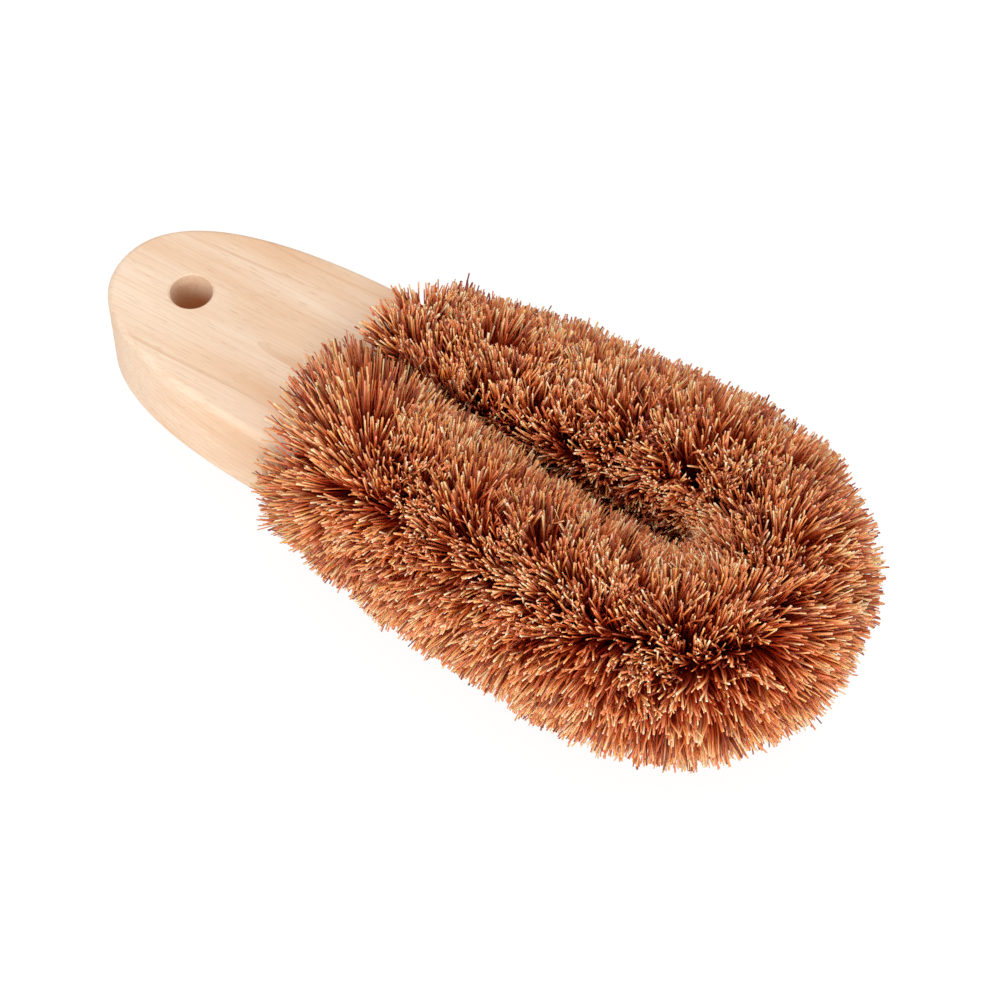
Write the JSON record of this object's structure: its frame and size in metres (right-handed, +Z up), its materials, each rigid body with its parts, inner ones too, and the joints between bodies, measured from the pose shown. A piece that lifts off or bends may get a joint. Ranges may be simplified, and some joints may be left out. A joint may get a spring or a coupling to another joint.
{
  "type": "foot brush",
  "caption": "Foot brush with a paddle-shaped wooden handle and a round brush of coir fibres held in a twisted wire stem bent into a U.",
  "frame": {"origin": "on the ground under the middle of the brush's overall length and width", "axes": "+X from the handle to the bend of the brush, +Y across the brush from its right leg to its left leg, +Z up out of the handle's broad face"},
  "size_m": [0.1756, 0.0837, 0.0445],
  "materials": {
    "rubberwood": "fine sanded, unvarnished",
    "galvanised_wire": "dull zinc-coated wire",
    "coir_fibre": "dry, slightly glossy plant fibre"
  },
  "bodies": {
    "root": {"handle": "rubberwood", "wire_strand_a": "galvanised_wire", "wire_strand_b": "galvanised_wire", "coir_right_1": "coir_fibre", "coir_right_2": "coir_fibre", "coir_right_3": "coir_fibre", "coir_bend_1": "coir_fibre", "coir_bend_2": "coir_fibre", "coir_bend_3": "coir_fibre", "coir_bend_4": "coir_fibre", "coir_bend_5": "coir_fibre", "coir_bend_6": "coir_fibre", "coir_left_1": "coir_fibre", "coir_left_2": "coir_fibre", "coir_left_3": "coir_fibre"}
  },
  "joints": []
}
